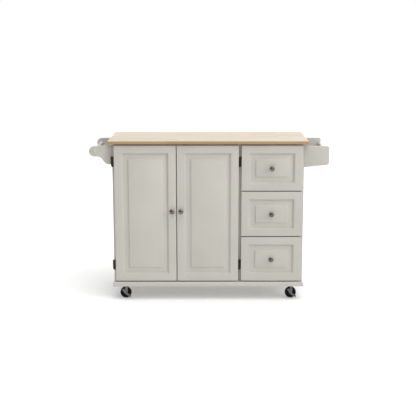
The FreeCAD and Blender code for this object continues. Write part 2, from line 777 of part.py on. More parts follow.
def caster_axle(braked):
    near_side = "fork_half + lever_thick + 2*lever_play" if braked else "fork_half"
    shaft = rod("axle_radius", f"{near_side} + fork_half", y=f"-({near_side})", turn=along_y)
    near_cap = rod("axle_cap_radius", "axle_cap_thick",
                   y=f"-({near_side}) - axle_cap_thick", turn=along_y)
    far_cap = rod("axle_cap_radius", "axle_cap_thick", y="fork_half", turn=along_y)
    return fuse([shaft, near_cap, far_cap])


def brake_lever():
    """Cranked arm on the axle: tail up to the left, pedal down to the right."""
    body = new_body()
    shares = ((-0.69, 0.59), (-0.44, 0.78), (0.12, 0.17), (0.81, -0.41), (1, -0.53),
              (0.91, -0.75), (0.62, -0.69), (-0.22, -0.19))
    profile = [(f"{x}*wheel_radius", f"{z}*wheel_radius") for x, z in shares]
    plate = outline(new_sketch(body, "XZ_Plane", "fork_half + lever_play"), profile)
    pad(body, plate, "lever_thick")
    thick = value("lever_thick")
    soften(body, "lever_round", lambda e: near(e.Length, thick) and e.BoundBox.YLength > 1)
    toe, sole = "0.9*wheel_radius", "-0.68*wheel_radius"
    pedal = rectangle(new_sketch(body, "XZ_Plane", "fork_half + lever_play + lever_thick"),
                      f"{toe} - pedal_wide", sole, toe, f"{sole} + pedal_high")
    pad(body, pedal, "pedal_out")
    hole = circle(new_sketch(body, "XZ_Plane", "fork_half + lever_play + lever_thick"), 0, 0,
                  "axle_radius + axle_play")
    pocket(body, hole, "lever_thick")
    return body


def casters():
    for name, end, x, y in caster_spots():
        braked = end == "front"
        keep(caster_fork(), f"{name}_caster_fork", f"{x} + trail", y)
        keep(caster_wheel(), f"{name}_wheel", x, y, "wheel_radius")
        keep(caster_axle(braked), f"{name}_axle", x, y, "wheel_radius")
        if braked:
            keep(brake_lever(), f"{name}_brake_lever", x, y, "wheel_radius")


# ---- the whole cart

def check_document():
    for thing in doc.Objects:
        if {"Invalid", "Error"} & set(thing.State):
            raise RuntimeError(f"{thing.Name} ({thing.Label}) failed: {thing.State}")
    for piece in pieces:
        if piece.Shape.isNull() or not piece.Shape.isValid() or not piece.Shape.Solids:
            raise RuntimeError(f"{piece.Label} has no valid solid")


fill_sheet()
worktop()
base_board()
upright("left_side_panel", "side_thick", "cabinet_depth", "-side_face", "right face")
upright("right_side_panel", "side_thick", "cabinet_depth", "side_face - side_thick")
upright("centre_divider", "divider_thick", "divider_depth", "divider_at", "left face")
back_panel()
top_rails()
shelf()
doors()
hinges()
drawer_runners()
for each_level in range(3):
    drawer(each_level)
for each_end, each_y in end_places():
    towel_bracket(each_end, each_y)
towel_bar()
spice_rack()
caster_fixings()
casters()
doc.recompute()
check_document()

os.makedirs("parts", exist_ok=True)
for piece in pieces:
    piece.Shape.exportStep(f"parts/{piece.Label}.step")
print(len(pieces), "sub-parts written")
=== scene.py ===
import json
import math
from contextlib import contextmanager

import bmesh
import bpy
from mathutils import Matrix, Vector


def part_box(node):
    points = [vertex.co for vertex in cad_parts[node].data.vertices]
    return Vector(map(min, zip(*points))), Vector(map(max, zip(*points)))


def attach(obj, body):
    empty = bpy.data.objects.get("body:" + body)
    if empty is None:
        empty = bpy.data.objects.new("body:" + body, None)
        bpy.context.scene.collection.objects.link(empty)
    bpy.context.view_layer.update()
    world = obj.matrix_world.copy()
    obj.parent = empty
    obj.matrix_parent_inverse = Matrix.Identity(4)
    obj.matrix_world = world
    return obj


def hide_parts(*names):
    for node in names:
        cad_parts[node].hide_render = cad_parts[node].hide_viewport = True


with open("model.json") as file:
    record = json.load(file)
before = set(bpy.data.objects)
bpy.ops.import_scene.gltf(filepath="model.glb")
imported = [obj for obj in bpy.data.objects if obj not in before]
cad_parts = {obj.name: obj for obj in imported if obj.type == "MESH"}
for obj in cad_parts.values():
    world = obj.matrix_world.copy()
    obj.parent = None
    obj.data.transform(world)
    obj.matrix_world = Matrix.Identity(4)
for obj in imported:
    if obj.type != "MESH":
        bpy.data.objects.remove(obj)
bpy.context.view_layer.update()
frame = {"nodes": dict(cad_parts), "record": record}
mm = 0.001
touching = 0.02 * mm  # places this close count as one
square = 0.99  # a direction this near to an axis counts as along it
yAxis, zAxis = 1, 2


class Wire:
    # an output of a node, on which Python sums add Math nodes

    def __init__(self, finish, socket):
        self.finish = finish
        self.socket = socket

    def maths(self, operation, *terms):
        return self.finish.node("Math", {"operation": operation}, dict(enumerate(terms)))

    def out(self, name):
        return Wire(self.finish, self.socket.node.outputs[name])

    def __add__(self, other):
        return self.maths("ADD", self, other)

    def __sub__(self, other):
        return self.maths("SUBTRACT", self, other)

    def __rsub__(self, other):
        return self.maths("SUBTRACT", other, self)

    def __mul__(self, other):
        return self.maths("MULTIPLY", self, other)

    def __truediv__(self, other):
        return self.maths("DIVIDE", self, other)

    def __rtruediv__(self, other):
        return self.maths("DIVIDE", other, self)

    def __lt__(self, other):
        return self.maths("LESS_THAN", self, other)

    def __gt__(self, other):
        return self.maths("GREATER_THAN", self, other)

    def __floor__(self):
        return self.maths("FLOOR", self)

    __radd__ = __add__
    __rmul__ = __mul__


class Finish:
    # one material: its Principled shader and the nodes that feed it

    def __init__(self, name, constants):
        self.material = bpy.data.materials.new(name)
        self.material.use_nodes = True
        self.tree = self.material.node_tree
        self.shader = self.tree.nodes["Principled BSDF"]
        for label, amount in constants.items():
            self.shader.inputs[label].default_value = amount
        self.place = self.node("TexCoord").out("Object")

    def plug(self, socket, given):
        if isinstance(given, Wire):
            self.tree.links.new(given.socket, socket)
        elif hasattr(socket.default_value, "__len__") and len(given) < len(socket.default_value):
            socket.default_value = (*given, 1)  # a colour without its alpha
        else:
            socket.default_value = given

    def node(self, kind, settings=None, sockets=None):
        made = self.tree.nodes.new("ShaderNode" + kind)
        for label, choice in (settings or {}).items():
            if label == "stops":
                self.setStops(made.color_ramp, choice)
            else:
                setattr(made, label, choice)
        for label, given in (sockets or {}).items():
            self.plug(made.inputs[label], given)
        return Wire(self, next(o for o in made.outputs if o.enabled))

    def setStops(self, ramp, stops):
        for element, (at, tone) in zip(ramp.elements, stops):
            element.position = at
            element.color = (tone, tone, tone, 1)

    def ramp(self, wire, low, high, most=1):
        # 0 below low, rising to most above high
        return self.node("ValToRGB", {"stops": ((low, 0), (high, most))}, {"Fac": wire})

    def stretched(self, scale, where=None):
        return self.node("Mapping", None, {"Vector": where or self.place, "Scale": scale})

    def noise(self, scale, detail, rough=0.5, where=None):
        return self.node("TexNoise", None, {
            "Vector": where or self.place, "Scale": scale, "Detail": detail, "Roughness": rough})

    def blend(self, amount, first, second, how="MIX"):
        made = self.node("Mix", {"data_type": "RGBA", "blend_type": how, "clamp_factor": True})
        sockets = [socket for socket in made.socket.node.inputs if socket.enabled]
        for socket, given in zip(sockets, (amount, first, second)):
            self.plug(socket, given)
        return made

    def mark(self, name):
        # a number that the modelling code leaves on the faces of some pieces
        return self.node("Attribute", {"attribute_name": name}).out("Fac")

    def done(self, colour, roughness, height=None, bump=(0.2, 0.5 * mm)):
        # bump is the strength and the depth of the height
        self.plug(self.shader.inputs["Base Color"], colour)
        self.plug(self.shader.inputs["Roughness"], roughness)
        if height is not None:
            normal = self.node("Bump", None, {"Height": height, "Strength": bump[0], "Distance": bump[1]})
            self.plug(self.shader.inputs["Normal"], normal)
        return self.material


def shade(red, green, blue):
    # screen colour, 0 to 255, as the linear colour that sockets take
    return tuple((c / 255 / 12.92) if c < 11 else ((c / 255 + 0.055) / 1.055) ** 2.4
                 for c in (red, green, blue))


def swing(noise, most):
    # a noise about its middle, as a small change either way
    return (noise - 0.5) * most


# every noise below is scale, detail and roughness
# every band is where it starts, where it ends and, if not 1, how much it reaches
paintLook = {
    "body": shade(184, 181, 173), "lighter": shade(188, 185, 177),
    "worn": shade(202, 199, 191), "soil": shade(176, 170, 157),
    "patches": (5, 4, 0.5), "patchBand": (0.35, 0.65),
    "stains": (18, 5, 0.6), "stainBand": (0.62, 0.8, 0.1),
    "wear": (70, 4, 0.7), "wearBand": (0.48, 0.62), "wearMost": 0.5,
    "roller": (900, 2, 0.5), "rollerShare": 0.6,
    "brush": (60, 3, 0.5), "brushStretch": (6, 6, 0.5), "brushShare": 0.4,
    "specular": 0.45, "roughness": 0.42, "patchRough": 0.16, "brushRough": 0.1,
    "wearRough": 0.08, "bump": (0.12, 0.3 * mm),
}


def makePaint():
    look = paintLook
    paint = Finish("satinPaint", {"Specular IOR Level": look["specular"]})
    patches = paint.noise(*look["patches"])
    roller = paint.noise(*look["roller"])
    brushed = paint.noise(*look["brush"], paint.stretched(look["brushStretch"]))
    stains = paint.ramp(paint.noise(*look["stains"]), *look["stainBand"])
    rubbed = paint.ramp(paint.noise(*look["wear"]), *look["wearBand"]) * paint.mark("edge")
    body = paint.blend(paint.ramp(patches, *look["patchBand"]), look["body"], look["lighter"])
    body = paint.blend(stains, body, look["soil"])
    body = paint.blend(rubbed * look["wearMost"], body, look["worn"])
    rough = look["roughness"] + swing(patches, look["patchRough"])
    rough = rough + swing(brushed, look["brushRough"]) - rubbed * look["wearRough"]
    relief = roller * look["rollerShare"] + brushed * look["brushShare"]
    return paint.done(body, rough, relief, look["bump"])


woodLook = {
    "pale": shade(207, 196, 181), "warm": shade(196, 178, 153), "deep": shade(172, 145, 113),
    "edgeTone": shade(216, 200, 170), "glue": shade(166, 140, 110),
    # stave sizes and where the first row and stave start, in metres
    "staveWide": 0.0415, "staveLong": 0.46, "rowStart": 1, "staveStart": 2,
    "shove": 7.3, "seed": 3.7, "drift": 9,
    "sideSeam": 0.018, "endSeam": 0.0018, "seamMost": 0.42,  # seams as parts of a stave
    "toneMost": 0.85, "grainStretch": (1.1, 26, 26), "figure": (1.6, 6, 0.62),
    "rings": {"Scale": 0.42, "Distortion": 5, "Detail": 3, "Detail Scale": 0.8},
    "ringShare": 0.5, "figureShare": 0.5, "grainBand": (0.42, 0.72, 0.42),
    "poreStretch": (2, 60, 60), "pores": (30, 3, 0.7), "poreBand": (0.62, 0.72), "poreMost": 0.2,
    "sideFrom": 0.6 * mm, "sideTo": 2.2 * mm,  # below the top, where the edge's tone comes in
    "wear": (45, 4, 0.7), "wearBand": (0.5, 0.64), "wearMost": 0.35,
    "specular": 0.4, "roughness": 0.38, "figureRough": 0.18, "poreRough": 0.12,
    "figureRelief": 0.35, "poreRelief": 0.6, "seamRelief": 0.9, "bump": (0.28, 0.3 * mm),
}


def makeWorktopWood():
    look = woodLook
    wood = Finish("oiledStaves", {"Specular IOR Level": look["specular"]})
    spot = wood.node("SeparateXYZ", None, {"Vector": wood.place})
    across = (spot.out("Y") + look["rowStart"]) / look["staveWide"]
    row = math.floor(across)
    shove = wood.node("TexWhiteNoise", {"noise_dimensions": "1D"}, {"W": row})
    along = (spot.out("X") + look["staveStart"]) / look["staveLong"] + shove * look["shove"]
    stave = math.floor(along)
    name = wood.node("CombineXYZ", None, {"X": row, "Y": stave, "Z": look["seed"]})
    pick = wood.node("TexWhiteNoise", {"noise_dimensions": "3D"}, {"Vector": name})
    # each stave takes its grain from another place, so none runs on into the next
    drift = wood.node("VectorMath", {"operation": "SCALE"}, {
        "Vector": pick.out("Color"), "Scale": look["drift"]})
    moved = wood.node("VectorMath", {"operation": "ADD"}, {0: wood.place, 1: drift})
    lengthwise = wood.stretched(look["grainStretch"], moved)
    figure = wood.noise(*look["figure"], lengthwise)
    rings = wood.node("TexWave", {"bands_direction": "Y"}, {"Vector": lengthwise, **look["rings"]})
    grain = rings.out("Fac") * look["ringShare"] + figure * look["figureShare"]
    pores = wood.noise(*look["pores"], wood.stretched(look["poreStretch"], moved))
    pits = wood.ramp(pores, *look["poreBand"])
    seam = (across - row < look["sideSeam"]) + (along - stave < look["endSeam"])
    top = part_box("worktop")[1][2]
    side = wood.node("MapRange", None, {
        "Value": spot.out("Z"), "From Min": top - look["sideFrom"], "From Max": top - look["sideTo"],
        "To Min": 0, "To Max": 1})
    rubbed = wood.ramp(wood.noise(*look["wear"]), *look["wearBand"]) * wood.mark("edge")
    body = wood.blend(pick.out("Value") * look["toneMost"], look["pale"], look["warm"])
    body = wood.blend(wood.ramp(grain, *look["grainBand"]), body, look["deep"])
    body = wood.blend(pits * look["poreMost"], body, look["deep"])
    body = wood.blend(seam * look["seamMost"], body, look["glue"])
    body = wood.blend(side, body, wood.blend(1, body, look["edgeTone"], "MULTIPLY"))
    body = wood.blend(rubbed * look["wearMost"], body, look["pale"])
    rough = look["roughness"] + swing(figure, look["figureRough"]) + pits * look["poreRough"]
    relief = figure * look["figureRelief"] - pits * look["poreRelief"] - seam * look["seamRelief"]
    return wood.done(body, rough, relief, look["bump"])


# each stretch is across and along the grain
plyLook = {
    "pale": shade(222, 196, 156), "deep": shade(184, 148, 103),
    "grain": (2, 6, 0.65), "grainStretch": (15, 1.3), "grainBand": (0.36, 0.68, 0.8),
    "fibres": (60, 2, 0.6), "fibreStretch": (9, 0.6), "fibreShare": 0.7,
    "flecks": (40, 2, 0.5), "fleckStretch": (7, 0.9), "fleckBand": (0.66, 0.76),
    "fleckMost": 0.25, "fleckShare": 0.3,
    "wear": (50, 3, 0.5), "wearBand": (0.5, 0.65), "wearMost": 0.3,
    "specular": 0.35, "roughness": 0.55, "grainRough": 0.2, "bump": (0.2, 0.3 * mm),
}


def makeDrawerWood():
    # the across mark is 1 on boards whose grain runs from left to right
    look = plyLook
    ply = Finish("birchPly", {"Specular IOR Level": look["specular"]})
    across = ply.mark("across")

    def along(fine, long):
        return ply.blend(across, ply.stretched((fine, long, fine)), ply.stretched((long, fine, fine)))

    grain = ply.noise(*look["grain"], along(*look["grainStretch"]))
    fibres = ply.noise(*look["fibres"], along(*look["fibreStretch"]))
    flecks = ply.ramp(ply.noise(*look["flecks"], along(*look["fleckStretch"])), *look["fleckBand"])
    rubbed = ply.ramp(ply.noise(*look["wear"]), *look["wearBand"]) * ply.mark("edge")
    body = ply.blend(ply.ramp(grain, *look["grainBand"]), look["pale"], look["deep"])
    body = ply.blend(flecks * look["fleckMost"], body, look["deep"])
    body = ply.blend(rubbed * look["wearMost"], body, look["pale"])
    rough = look["roughness"] + swing(grain, look["grainRough"])
    relief = fibres * look["fibreShare"] + flecks * look["fleckShare"]
    return ply.done(body, rough, relief, look["bump"])


# what the metals share, then each one's colours, shine and brushing; the nickel's colours are darker than
# nickel is, as painted dark reflections
metalLook = {
    "clouds": (22, 4, 0.6), "cloudBand": (0.38, 0.68, 0.7), "cloudShare": 0.4,
    "lines": (40, 3, 0.7), "lineShare": 0.6,
    "grime": (60, 4, 0.65), "grimeBand": (0.55, 0.75), "grimeMost": 0.2,
    "wear": (160, 3, 0.6), "wearBand": (0.45, 0.6), "wearMost": 0.75,
    "cloudRough": 0.14, "lineRough": 0.1, "grimeRough": 0.08, "bump": (0.1, 0.2 * mm),
}
metals = {
    "zinc_steel": {
        "name": "zincSteel", "body": shade(124, 125, 127), "dark": shade(90, 92, 96),
        "worn": shade(176, 177, 178), "roughness": 0.38, "brushing": (4, 4, 120)},
    # the nickel's body and dark tones are painted dark reflections, darkened so that the knobs look as if
    # they mirror dark surroundings
    "polished_nickel": {
        "name": "polishedNickel", "body": shade(120, 116, 109), "dark": shade(90, 86, 80),
        "roughness": 0.11, "brushing": (4, 4, 120)},
    "dark_bronze": {
        "name": "darkBronze", "body": shade(62, 55, 46), "dark": shade(40, 36, 31),
        "worn": shade(128, 104, 74), "roughness": 0.42, "brushing": (4, 4, 120)},
    "runner_steel": {
        "name": "runnerSteel", "body": shade(196, 199, 202), "dark": shade(164, 168, 172),
        "worn": shade(222, 224, 226), "roughness": 0.33, "brushing": (60, 1.5, 60)},
}


def makeMetal(own):
    look = metalLook
    metal = Finish(own["name"], {"Metallic": 1.0})
    clouds = metal.noise(*look["clouds"])
    lines = metal.noise(*look["lines"], metal.stretched(own["brushing"]))
    grime = metal.ramp(metal.noise(*look["grime"]), *look["grimeBand"])
    body = metal.blend(metal.ramp(clouds, *look["cloudBand"]), own["body"], own["dark"])
    body = metal.blend(grime * look["grimeMost"], body, own["dark"])
    if "worn" in own:
        rubbed = metal.ramp(metal.noise(*look["wear"]), *look["wearBand"]) * metal.mark("edge")
        body = metal.blend(rubbed * look["wearMost"], body, own["worn"])
    rough = own["roughness"] + swing(clouds, look["cloudRough"])
    rough = rough + swing(lines, look["lineRough"]) + grime * look["grimeRough"]
    relief = lines * look["lineShare"] + clouds * look["cloudShare"]
    return metal.done(body, rough, relief, look["bump"])


rubberLook = {
    "body": shade(13, 13, 14), "faded": shade(24, 23, 23), "dust": shade(118, 112, 104),
    "worn": shade(96, 92, 88), "clouds": (45, 4, 0.6), "cloudBand": (0.35, 0.7),
    "scuffs": (130, 4, 0.7), "scuffBand": (0.56, 0.72), "scuffMost": 0.18,
    "dustTop": 0.02, "dustMost": 0.35, "wearMost": 0.3, "grit": (900, 2, 0.5),
    "specular": 0.1, "roughness": 0.58, "cloudRough": 0.25, "scuffRough": 0.15,
    "bump": (0.15, 0.2 * mm),
}


def makeRubber():
    look = rubberLook
    rubber = Finish("blackWheel", {"Specular IOR Level": look["specular"]})
    clouds = rubber.noise(*look["clouds"])
    grit = rubber.noise(*look["grit"])
    spot = rubber.node("SeparateXYZ", None, {"Vector": rubber.place})
    low = rubber.node("MapRange", None, {
        "Value": spot.out("Z"), "From Min": look["dustTop"], "From Max": 0})
    scuffs = rubber.ramp(rubber.noise(*look["scuffs"]), *look["scuffBand"])
    dusty = scuffs * look["scuffMost"] + scuffs * low * look["dustMost"]
    body = rubber.blend(rubber.ramp(clouds, *look["cloudBand"]), look["body"], look["faded"])
    body = rubber.blend(dusty, body, look["dust"])
    body = rubber.blend(rubber.mark("edge") * scuffs * look["wearMost"], body, look["worn"])
    rough = look["roughness"] + swing(clouds, look["cloudRough"]) + scuffs * look["scuffRough"]
    return rubber.done(body, rough, grit, look["bump"])


plasticLook = {
    "body": shade(224, 221, 211), "darker": shade(209, 205, 192), "worn": shade(236, 234, 227),
    "clouds": (60, 3, 0.5), "cloudBand": (0.4, 0.65), "wearMost": 0.4, "grain": (1400, 2, 0.5),
    "specular": 0.45, "roughness": 0.46, "cloudRough": 0.2, "bump": (0.12, 0.2 * mm),
}


def makeCatchPlastic():
    look = plasticLook
    plastic = Finish("catchPlastic", {"Specular IOR Level": look["specular"]})
    clouds = plastic.noise(*look["clouds"])
    body = plastic.blend(plastic.ramp(clouds, *look["cloudBand"]), look["body"], look["darker"])
    body = plastic.blend(plastic.mark("edge") * look["wearMost"], body, look["worn"])
    rough = look["roughness"] + swing(clouds, look["cloudRough"])
    return plastic.done(body, rough, plastic.noise(*look["grain"]), look["bump"])


finishes = {
    "grey_paint": makePaint(), "worktop_wood": makeWorktopWood(), "drawer_wood": makeDrawerWood(),
    "black_wheel": makeRubber(), "catch_plastic": makeCatchPlastic(),
    **{slot: makeMetal(own) for slot, own in metals.items()},
}
slotOf = {part["node"]: part["material_slot"] for part in frame["record"]["subparts"]}
for nodeName, cadNode in frame["nodes"].items():
    cadNode.data.materials.clear()
    cadNode.data.materials.append(finishes[slotOf[nodeName]])
print("finishes made")


def onlyThis(piece=None):
    bpy.ops.object.select_all(action="DESELECT")
    if piece:
        piece.select_set(True)
        bpy.context.view_layer.objects.active = piece


@contextmanager
def shaping(piece, pick="FACE"):
    # edit mode on one piece, with nothing picked at first
    onlyThis(piece)
    bpy.ops.object.mode_set(mode="EDIT")
    bpy.ops.mesh.select_mode(type=pick)
    bpy.ops.mesh.select_all(action="DESELECT")
    yield
    bpy.ops.object.mode_set(mode="OBJECT")


def choose(piece, kind, wanted):
    # picks the faces, edges or verts that the test wants
    bpy.ops.mesh.select_all(action="DESELECT")
    mesh = bmesh.from_edit_mesh(piece.data)
    mesh.normal_update()
    for part in getattr(mesh, kind):
        if wanted(part):
            part.select_set(True)
    bmesh.update_edit_mesh(piece.data)


def pointOutwards():
    bpy.ops.mesh.select_all(action="SELECT")
    bpy.ops.mesh.normals_make_consistent(inside=False)


def lies(axis, level):
    # a test for edges or faces at one level of one axis
    return lambda part: all(abs(v.co[axis] - level) < touching for v in part.verts)


def runs(axis):
    # a test for edges along one axis
    return lambda edge: abs((edge.verts[0].co - edge.verts[1].co).normalized()[axis]) > square


def slanted(limit):
    # a test for faces that look along no axis
    return lambda face: max(map(abs, face.normal)) < limit


def settle(piece, name):
    piece.name = piece.data.name = name
    bpy.ops.object.transform_apply(location=True, rotation=True, scale=True)
    return piece


def addBlock(name, low, high):
    onlyThis()
    low, high = Vector(low), Vector(high)
    bpy.ops.mesh.primitive_cube_add(size=1, location=(low + high) / 2, scale=high - low)
    return settle(bpy.context.object, name)


def addTurned(name, foot, way, profile, sides):
    # a lathe shape from steps of distance along the way and radius, in mm
    onlyThis()
    foot, way = Vector(foot), Vector(way)
    gone, radius = profile[0]
    bpy.ops.mesh.primitive_circle_add(
        vertices=sides, radius=radius * mm, fill_type="NGON", location=foot + way * gone * mm,
        rotation=way.to_track_quat("Z", "Y").to_euler())
    piece = settle(bpy.context.object, name)
    with shaping(piece):
        bpy.ops.mesh.select_all(action="SELECT")
        for far, wide in profile[1:]:
            bpy.ops.mesh.extrude_region_move(
                TRANSFORM_OT_translate={"value": way * (far - gone) * mm})
            bpy.ops.transform.resize(value=(wide / radius,) * 3,
                                     center_override=foot + way * far * mm)
            gone, radius = far, wide
        pointOutwards()
    return piece


cutout = {"startRadius": 10 * mm, "roundSteps": 10}


def addCutout(name, corners, rounds, near, far):
    # an upright board: x and z corners in metres, and (corner number, rounding) pairs
    onlyThis()
    bpy.ops.mesh.primitive_circle_add(vertices=len(corners), radius=cutout["startRadius"],
                                      fill_type="NGON", rotation=(math.radians(90), 0, 0),
                                      location=(corners[0][0], near, corners[0][1]))
    board = settle(bpy.context.object, name)
    with shaping(board, "VERT"):
        for index, (x, z) in enumerate(corners):
            mesh = bmesh.from_edit_mesh(board.data)
            mesh.verts.ensure_lookup_table()
            start = mesh.verts[index].co.copy()
            choose(board, "verts", lambda v: v.index == index)
            bpy.ops.transform.translate(value=Vector((x, near, z)) - start)
        for index, offset in rounds:
            spot = Vector((corners[index][0], near, corners[index][1]))
            choose(board, "verts", lambda v: (v.co - spot).length < touching)
            bpy.ops.mesh.bevel(offset=offset, segments=cutout["roundSteps"], affect="VERTICES")
    with shaping(board):
        bpy.ops.mesh.select_all(action="SELECT")
        bpy.ops.mesh.extrude_region_move(TRANSFORM_OT_translate={"value": (0, far - near, 0)})
        pointOutwards()
    return board


def bevelEdges(piece, wanted, offset, segments):
    with shaping(piece, "EDGE"):
        choose(piece, "edges", wanted)
        bpy.ops.mesh.bevel(offset=offset, segments=segments, affect="EDGES", clamp_overlap=True)


def markFaces(piece, name, wanted):
    # leaves a 1 on the wanted faces, which the finishes read
    marks = piece.data.attributes.get(name) or piece.data.attributes.new(name, "FLOAT", "FACE")
    for face in piece.data.polygons:
        if wanted(face):
            marks.data[face.index].value = 1
    return piece


def ease(piece, width, segments=2, angle=40):
    # rounds every sharp edge a little and marks the strips, which wear first
    onlyThis(piece)
    for _ in range(2):
        piece.data.materials.append(None)  # the bevel puts its strips in the second slot
    bevel = piece.modifiers.new("ease", "BEVEL")
    bevel.width = width
    bevel.segments = segments
    bevel.limit_method = "ANGLE"
    bevel.angle_limit = math.radians(angle)
    bevel.material = 1
    bpy.ops.object.modifier_apply(modifier=bevel.name)
    markFaces(piece, "edge", lambda face: face.material_index == 1)
    piece.data.materials.clear()
    return piece


def joined(name, parts):
    onlyThis(parts[0])
    for part in parts:
        part.select_set(True)
    bpy.ops.object.join()
    parts[0].name = parts[0].data.name = name
    return parts[0]


def copied(piece, name, move):
    onlyThis(piece)
    bpy.ops.object.duplicate(linked=False)
    twin = bpy.context.object
    twin.location = move
    return settle(twin, name)


def apart(node, other):
    # the way from one node to another of the same shape
    return Vector(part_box(other)[0]) - Vector(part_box(node)[0])


def dress(piece, body, *nodes, smooth=35):
    # last step for a piece: finish, smooth shading, and what it stands for
    piece.data.materials.clear()
    piece.data.materials.append(finishes[slotOf[nodes[0]]])
    piece.data.polygons.foreach_set("material_index", [0] * len(piece.data.polygons))
    onlyThis(piece)
    bpy.ops.object.shade_smooth_by_angle(angle=math.radians(smooth))
    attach(piece, body)
    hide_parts(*nodes)


def dressTwins(piece, twinName, bodies, nodes):
    # a piece, and its copy at the second node
    twin = copied(piece, twinName, apart(*nodes))
    dress(piece, bodies[0], nodes[0])
    dress(twin, bodies[1], nodes[1])


def dressDrawers(piece, kind, *nodes):
    # the top drawer's piece, and its copies on the two drawers below
    for level in ("middle", "bottom"):
        drop = apart(f"top_drawer_{nodes[0]}", f"{level}_drawer_{nodes[0]}")
        twin = copied(piece, f"{level}Drawer{kind}", drop)
        dress(twin, f"{level}_drawer", *[f"{level}_drawer_{node}" for node in nodes])
    dress(piece, "top_drawer", *[f"top_drawer_{node}" for node in nodes])


worktopShape = {"cornerRound": 5 * mm, "cornerSteps": 5, "arris": 2.4 * mm, "arrisSteps": 4}


def makeWorktop():
    look = worktopShape
    low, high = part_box("worktop")
    top = addBlock("woodTop", low, high)
    bevelEdges(top, runs(zAxis), look["cornerRound"], look["cornerSteps"])
    bevelEdges(top, lambda edge: lies(zAxis, low[2])(edge) or lies(zAxis, high[2])(edge),
               look["arris"], look["arrisSteps"])
    markFaces(top, "edge", slanted(square))
    dress(top, "cart", "worktop")


# the moulded edge from the plain part up: inward and upward steps in mm
baseShape = {
    "plain": 12 * mm, "cornerRound": 2.2 * mm, "cornerSteps": 4, "wornBelow": 0.97,
    "ogee": ((0.9, 0.1), (0.2, 1.2), (0.4, 1.1), (0.7, 0.8), (0.9, 0.5), (0.5, 0.1), (0.1, 1.6),
             (0.1, 3.3), (0.3, 1.5), (0.6, 1.3), (0.8, 0.9), (0.9, 0.5), (0.6, 0.1)),
}


def makeBase():
    look = baseShape
    low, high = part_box("base_board")
    base = addBlock("baseBoard", low, (high[0], high[1], low[2] + look["plain"]))
    bevelEdges(base, lambda edge: runs(zAxis)(edge) and lies(yAxis, low[1])(edge),
               look["cornerRound"], look["cornerSteps"])
    half, deep = (high[0] - low[0]) / 2, high[1] - low[1]
    middle = ((high[0] + low[0]) / 2, high[1], 0)  # the back edge is left square
    with shaping(base):
        choose(base, "faces", lambda face: face.normal.z > square)
        for inward, up in look["ogee"]:
            bpy.ops.mesh.extrude_region_move(TRANSFORM_OT_translate={"value": (0, 0, up * mm)})
            bpy.ops.transform.resize(value=(1 - inward * mm / half, 1 - inward * mm / deep, 1),
                                     center_override=middle)
            half, deep = half - inward * mm, deep - inward * mm
    markFaces(base, "edge", slanted(look["wornBelow"]))
    dress(base, "cart", "base_board")


boardShape = {
    "arris": 1.1 * mm, "thinArris": 0.5 * mm, "thin": 6 * mm, "arrisSteps": 3,
    "boards": {
        "leftPanel": "left_side_panel", "rightPanel": "right_side_panel",
        "divider": "centre_divider", "backBoard": "back_panel",
        "cupboardShelf": "adjustable_shelf", "spiceShelf": "rack_shelf", "spiceRail": "rack_rail",
    },
}


def makeBoards():
    look = boardShape
    for name, node in look["boards"].items():
        board = addBlock(name, *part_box(node))
        thick = min(board.dimensions) > look["thin"]
        ease(board, look["arris"] if thick else look["thinArris"], look["arrisSteps"])
        dress(board, "cart", node)


# inward and deeper steps in mm from the flat frame to the raised field
# a quarter round lies between the steps before it and after it
frontShape = {
    "rim": 2.5 * mm, "rimSteps": 4, "backRim": 0.8 * mm, "backSteps": 2,
    "frame": 39.5 * mm, "before": ((0.3, 0.9), (0.35, 0.6), (0.9, 0)),
    "round": 4.2, "roundSteps": 6,
    "after": ((0.2, 1.9), (0.5, 0.6), (4.4, 0.1), (26.2, -3.3), (0.6, -0.5), (0.6, -1.2),
              (0.7, -1.5), (0.4, -1.2), (0.9, -0.3)),
    "leastInset": 0.02, "largeFace": 0.02, "wornBelow": 0.985,
}


def frontSteps():
    look = frontShape
    turn = [math.radians(90 * i / look["roundSteps"]) for i in range(look["roundSteps"] + 1)]
    quarter = [(look["round"] * (math.sin(b) - math.sin(a)),
                look["round"] * (math.cos(a) - math.cos(b))) for a, b in zip(turn, turn[1:])]
    return [*look["before"], *quarter, *look["after"]]


def makeFront(name, node):
    look = frontShape
    low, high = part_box(node)
    front = addBlock(name, low, high)
    bevelEdges(front, lies(yAxis, low[1]), look["rim"], look["rimSteps"])
    bevelEdges(front, lies(yAxis, high[1]), look["backRim"], look["backSteps"])
    with shaping(front):
        choose(front, "faces",
               lambda face: face.normal.y < -square and face.calc_area() > look["largeFace"])
        bpy.ops.mesh.inset(thickness=look["frame"])
        for inward, deeper in frontSteps():
            bpy.ops.mesh.inset(thickness=max(inward, look["leastInset"]) * mm)
            bpy.ops.transform.translate(value=(0, deeper * mm, 0))
    return markFaces(front, "edge", slanted(look["wornBelow"]))


def makeFronts():
    door = makeFront("leftDoor", "left_door_panel")
    dressTwins(door, "rightDoor", ("left_door", "right_door"),
               ("left_door_panel", "right_door_panel"))
    dressDrawers(makeFront("topDrawerFront", "top_drawer_front"), "Front", "front")


knobShape = {
    "profile": ((0, 7.6), (0.7, 8.2), (1.6, 8.2), (2.4, 7.2), (3.6, 5.6), (5.2, 5.0), (7.4, 5.0),
                (9.4, 5.9), (11.2, 8.2), (12.8, 11.0), (14.4, 13.2), (15.8, 14.2), (17.2, 14.5),
                (18.6, 14.3), (20, 13.6), (21.4, 12.3), (22.8, 10.2), (24, 7.4), (24.9, 4.3),
                (25.4, 1.6), (25.5, 0.3)),
    "sides": 64,
    "screwHead": ((-0.1, 3.4), (0.4, 4), (1.1, 4), (1.7, 3.1), (1.8, 2)), "headSides": 24,
    "shank": 2, "shankInKnob": 4, "shankSides": 16,
    "doorGrip": 20, "drawerGrip": 32,  # the wood between knob and screw head, in mm
}


